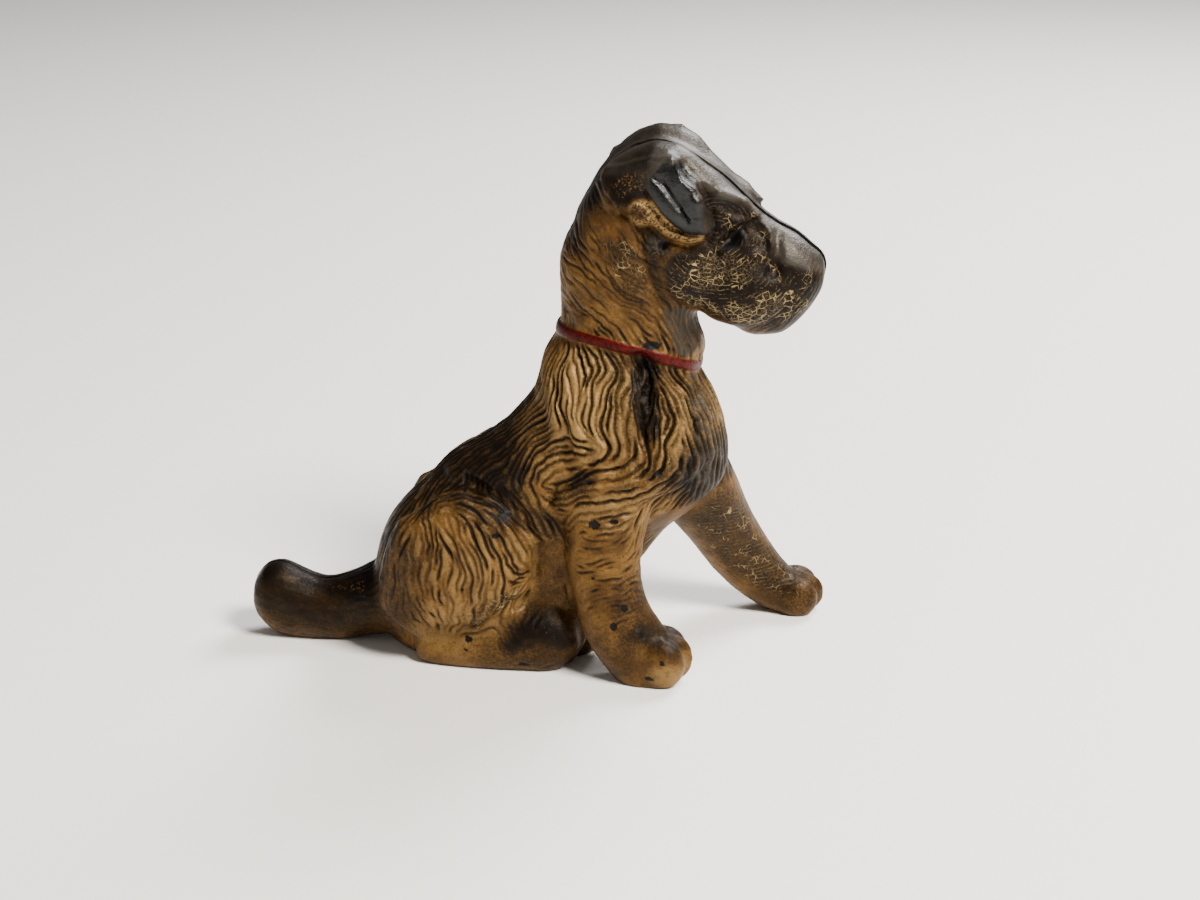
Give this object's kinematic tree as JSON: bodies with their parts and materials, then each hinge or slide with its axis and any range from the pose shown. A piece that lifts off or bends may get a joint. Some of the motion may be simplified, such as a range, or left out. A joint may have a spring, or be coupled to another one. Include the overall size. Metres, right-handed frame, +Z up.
{
  "type": "dog statue",
  "caption": "Small painted cast iron figure of a sitting wire-haired terrier with a red collar, made as two half castings, standing on its paws and haunches.",
  "frame": {"origin": "on the ground, under the middle of the box round the whole figure", "axes": "+X towards the nose, +Y towards the dog's left, +Z up; the joint between the halves lies in a plane of constant Y, 3.9 mm to the right of the origin, because the left foreleg reaches further out than anything on the right"},
  "size_m": [0.1388, 0.0592, 0.1268],
  "materials": {
    "painted_iron_right": "aged satin oil paint, ochre with dark brown grime in the carving, grey-brown crown, red collar band, small chips down to dark iron",
    "painted_iron_left": "aged satin oil paint, ochre with dark brown grime in the carving, grey-brown crown, red collar band, small chips down to dark iron"
  },
  "bodies": {
    "root": {"right_casting": "painted_iron_right", "left_casting": "painted_iron_left"}
  },
  "joints": []
}
